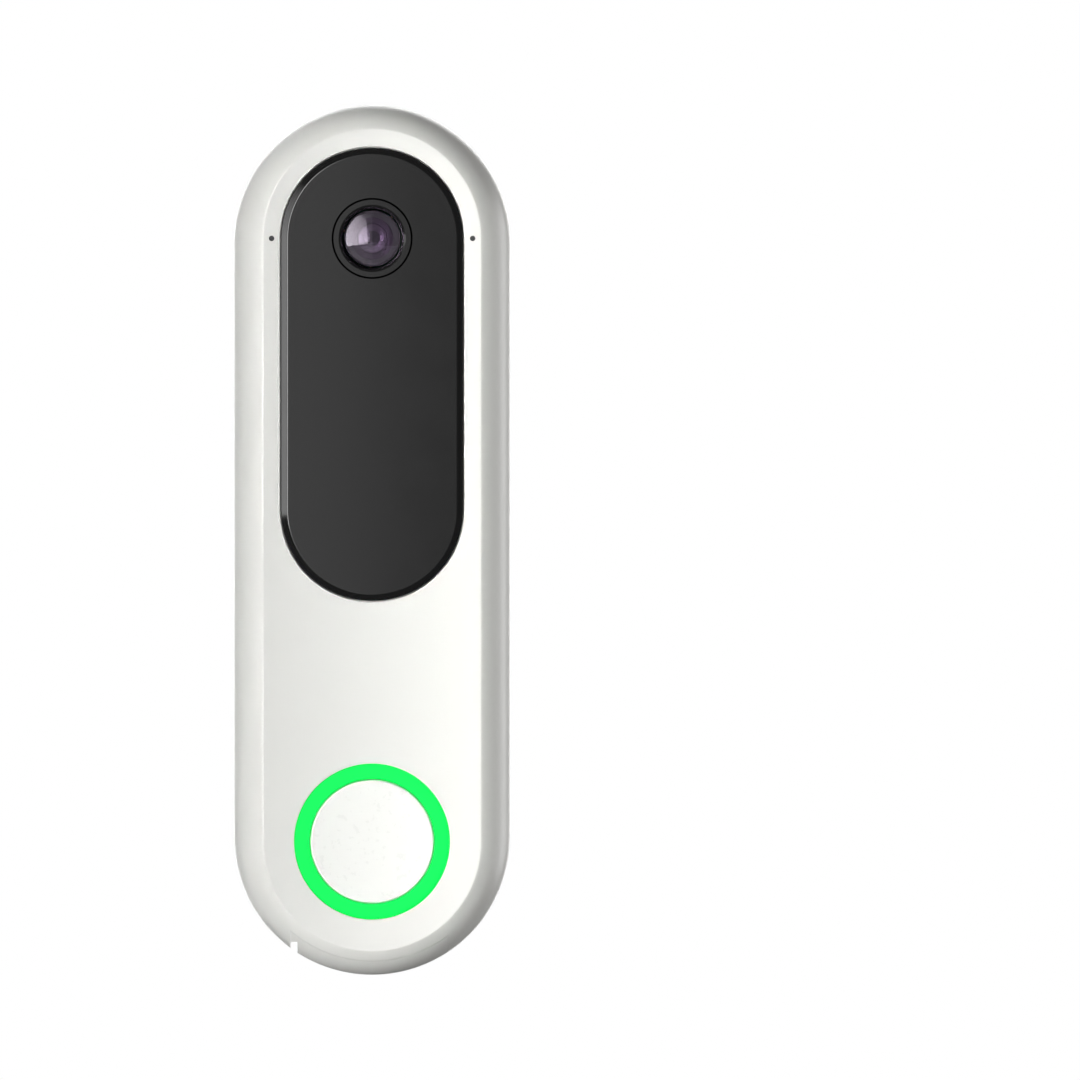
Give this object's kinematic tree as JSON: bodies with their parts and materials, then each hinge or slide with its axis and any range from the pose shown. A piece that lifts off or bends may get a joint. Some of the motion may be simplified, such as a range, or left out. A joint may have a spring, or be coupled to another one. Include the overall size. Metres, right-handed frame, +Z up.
{
  "type": "video doorbell",
  "caption": "Slim capsule-shaped battery video doorbell with a black camera panel, a push button inside a light ring, a charging flap and a clip-on wall bracket.",
  "frame": {"origin": "centre of the wall bracket's back face, on the wall", "axes": "+X to the right seen from the front, +Y into the wall, +Z up"},
  "size_m": [0.046, 0.0274, 0.145],
  "materials": {
    "white_shell": "satin moulded white",
    "bracket_plastic": "fine matt texture",
    "black_panel": "high gloss with a polished edge",
    "black_plastic": "satin black",
    "lens_glass": "coated glass with a violet tint",
    "ring_diffuser": "frosted light guide, lit green",
    "button_white": "satin",
    "seal_rubber": "matt",
    "flap_rubber": "soft white",
    "board_green": "solder mask",
    "chip_black": "matt",
    "bright_metal": "bright",
    "steel_screw": "plated",
    "ribbon_film": "amber film",
    "battery_wrap": "shrink film",
    "lead_red": "insulated wire",
    "led_white": "clear resin"
  },
  "bodies": {
    "bracket": {"wall_bracket": "bracket_plastic"},
    "tongue": {"snap_tongue": "bracket_plastic"},
    "doorbell": {"rear_shell": "white_shell", "front_shell": "white_shell", "shell_seal": "seal_rubber", "case_screw_1": "steel_screw", "case_screw_2": "steel_screw", "case_screw_3": "steel_screw", "case_screw_4": "steel_screw", "case_screw_5": "steel_screw", "case_screw_6": "steel_screw", "lens_panel": "black_panel", "panel_adhesive": "seal_rubber", "lens_bezel": "black_plastic", "lens_front": "lens_glass", "lens_rear": "lens_glass", "lens_iris": "black_plastic", "lens_barrel": "black_plastic", "lens_holder": "black_plastic", "image_sensor": "chip_black", "camera_board": "board_green", "camera_ribbon": "ribbon_film", "ir_board": "board_green", "ir_led_left": "led_white", "ir_led_right": "led_white", "microphone_left": "bright_metal", "microphone_right": "bright_metal", "mic_gasket_left": "seal_rubber", "mic_gasket_right": "seal_rubber", "light_ring": "ring_diffuser", "button_membrane": "seal_rubber", "button_board": "board_green", "tact_switch": "chip_black", "ring_led_1": "led_white", "ring_led_2": "led_white", "ring_led_3": "led_white", "ring_led_4": "led_white", "ring_led_5": "led_white", "ring_led_6": "led_white", "button_ribbon": "ribbon_film", "main_board": "board_green", "processor": "chip_black", "radio_shield": "bright_metal", "radio_antenna": "ribbon_film", "motion_sensor": "bright_metal", "battery_pack": "battery_wrap", "battery_lead": "lead_red", "battery_socket": "led_white", "speaker": "black_plastic", "speaker_gasket": "seal_rubber", "usb_board": "board_green", "usb_socket": "bright_metal", "usb_ribbon": "ribbon_film", "reset_switch": "chip_black"},
    "button": {"button_cap": "button_white", "switch_plunger": "chip_black"},
    "reset": {"reset_button": "chip_black"},
    "flap": {"port_flap": "flap_rubber"}
  },
  "joints": [
    {"name": "lift_off", "type": "slide", "parent": "bracket", "child": "doorbell", "axis": [0, 0, 1], "range_m": [0, 0.006]},
    {"name": "tongue_flex", "type": "hinge", "parent": "bracket", "child": "tongue", "pos_m": [0, -0.0023, -0.026], "axis": [-1, 0, 0], "range_deg": [0, 5.2]},
    {"name": "button_press", "type": "slide", "parent": "doorbell", "child": "button", "axis": [0, 1, 0], "range_m": [0, 0.0006], "stiffness_N_per_m": 300, "springref_m": -0.0015, "deforming": ["button_membrane"]},
    {"name": "reset_press", "type": "slide", "parent": "doorbell", "child": "reset", "axis": [0, 0, 1], "range_m": [0, 0.0004], "stiffness_N_per_m": 40, "springref_m": -0.002},
    {"name": "flap_open", "type": "hinge", "parent": "doorbell", "child": "flap", "pos_m": [0.0125, -0.0131, -0.06881], "axis": [0, -1, 0], "range_deg": [0, 90]}
  ],
  "couplings": [
    {"joint": "tongue_flex", "follows": "lift_off", "rad_per_m": 14.8}
  ]
}
